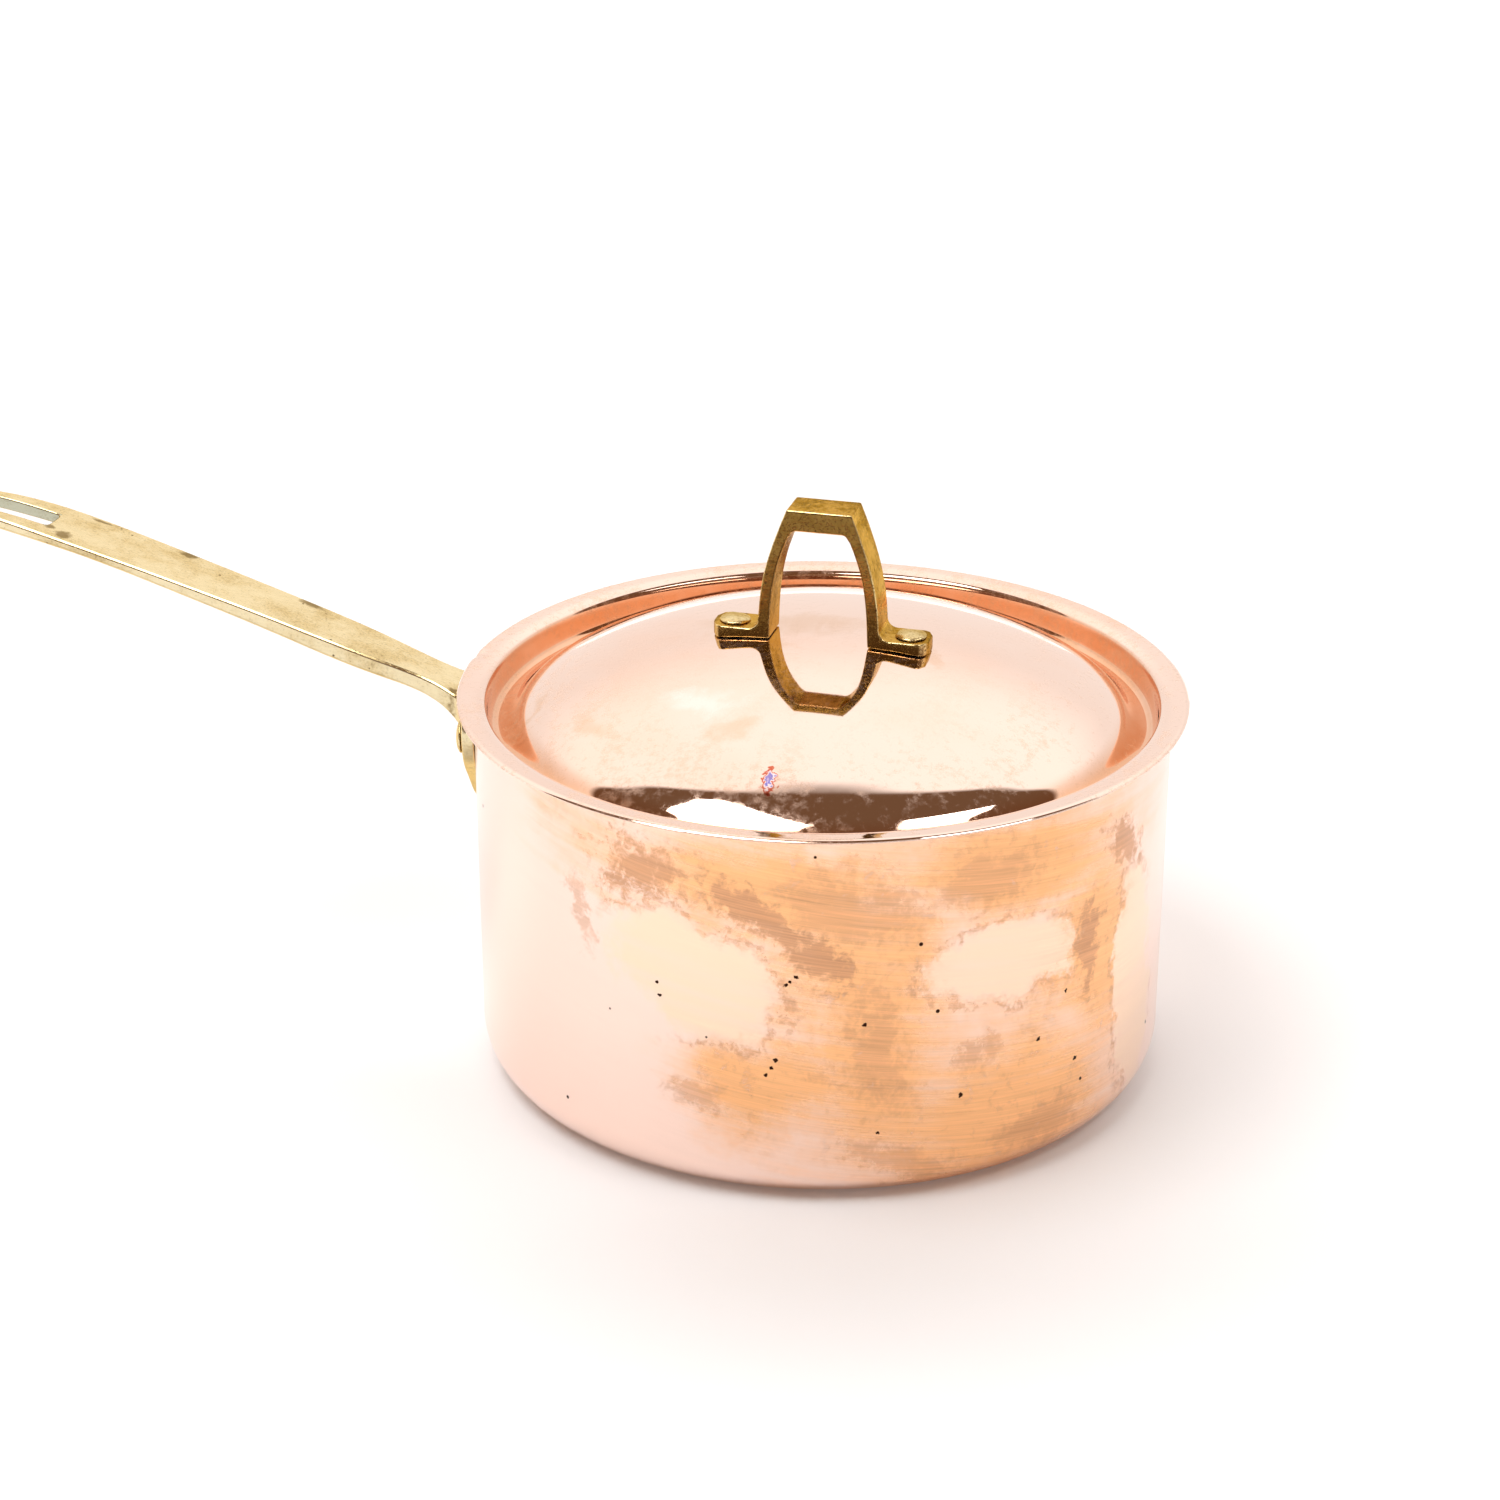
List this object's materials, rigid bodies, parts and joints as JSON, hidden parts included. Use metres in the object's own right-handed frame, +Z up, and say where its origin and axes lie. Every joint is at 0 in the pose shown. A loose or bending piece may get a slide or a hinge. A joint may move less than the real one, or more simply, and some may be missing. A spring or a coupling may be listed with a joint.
{
  "type": "lidded copper saucepan",
  "caption": "Straight-sided copper saucepan with a bright lined inside, a long riveted brass handle with a hanging slot, and a loose domed copper lid with a brass loop handle.",
  "frame": {"origin": "centre of the flat underside of the pan's base, on the surface the pan stands on", "axes": "+Z up along the pan's axis; -X out along the long handle; +Y to the handle's right seen from its free end"},
  "size_m": [0.3623, 0.197, 0.1571],
  "materials": {
    "copper_body": "worn polish with tarnish patches and fine scratches",
    "copper_lid": "bright mirror polish with faint stains",
    "lining_metal": "satin, turned",
    "handle_brass": "cast and rubbed, with dark spots",
    "loop_brass": "cast, aged to olive gold",
    "rivet_brass": "hammered heads, rubbed bright"
  },
  "bodies": {
    "pan": {"pan_shell": "copper_body", "pan_lining": "lining_metal", "long_handle": "handle_brass", "handle_rivet_front": "rivet_brass", "handle_rivet_rear": "rivet_brass", "handle_rivet_lower": "rivet_brass"},
    "lid": {"lid_sheet": "copper_lid", "lid_lining": "lining_metal", "lid_loop_handle": "loop_brass", "lid_rivet_outer": "rivet_brass", "lid_rivet_inner": "rivet_brass"}
  },
  "joints": [
    {"name": "lid_lift", "type": "slide", "parent": "pan", "child": "lid", "axis": [0, 0, 1], "range_m": [0, 0.06]}
  ]
}
